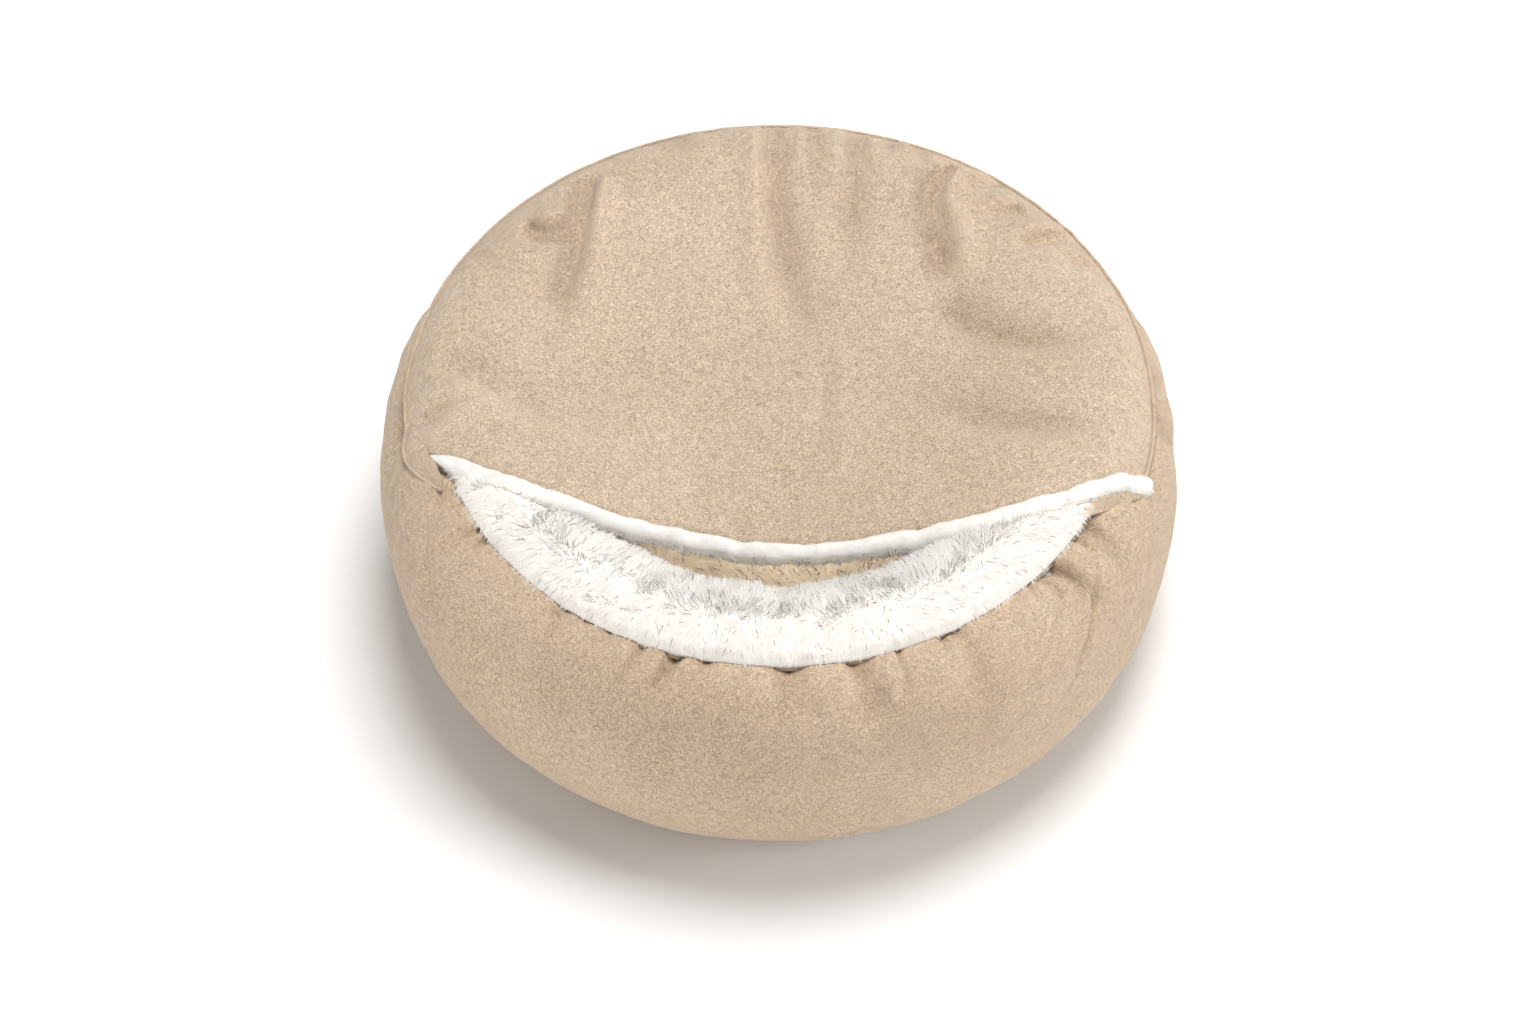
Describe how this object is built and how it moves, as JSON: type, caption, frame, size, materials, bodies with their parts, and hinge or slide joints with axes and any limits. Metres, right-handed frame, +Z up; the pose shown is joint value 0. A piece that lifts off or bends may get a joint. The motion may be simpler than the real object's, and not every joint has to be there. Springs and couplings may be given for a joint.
{
  "type": "pet cushion bed",
  "caption": "Round stuffed pet bed with a plush outside, a fur-lined nest and a lined hood whose free front edge folds up and back.",
  "frame": {"origin": "centre of the underside, on the floor", "axes": "+Z up, -Y towards the mouth, +X to the right as seen from the mouth"},
  "size_m": [0.5796, 0.5796, 0.2114],
  "materials": {
    "plush": "matte",
    "fur": "matte",
    "base_cloth": "matte",
    "filling": "matte",
    "seam_cord": "matte"
  },
  "bodies": {
    "bed": {"base_fabric": "base_cloth", "base_seam_piping": "seam_cord", "bolster_outer_cover": "plush", "bolster_fur_lining": "fur", "bolster_filling": "filling", "bolster_divider_wall": "base_cloth", "mouth_seam_tape": "seam_cord", "nest_pad_filling": "filling", "nest_floor_fur": "fur", "nest_seam_tape": "seam_cord", "hood_rear_shell": "plush", "hood_rear_lining": "fur", "hood_hem_end_left": "fur", "hood_hem_end_right": "fur", "hood_seam_piping": "plush"},
    "hood_flap": {"hood_flap_shell": "plush", "hood_flap_lining": "fur", "hood_hem_roll": "fur"}
  },
  "joints": [
    {"name": "hood_fold", "type": "hinge", "parent": "bed", "child": "hood_flap", "pos_m": [-0.001, -0.069, 0.2105], "axis": [-0.9994, 0.0353, 0], "range_deg": [0, 165]}
  ]
}
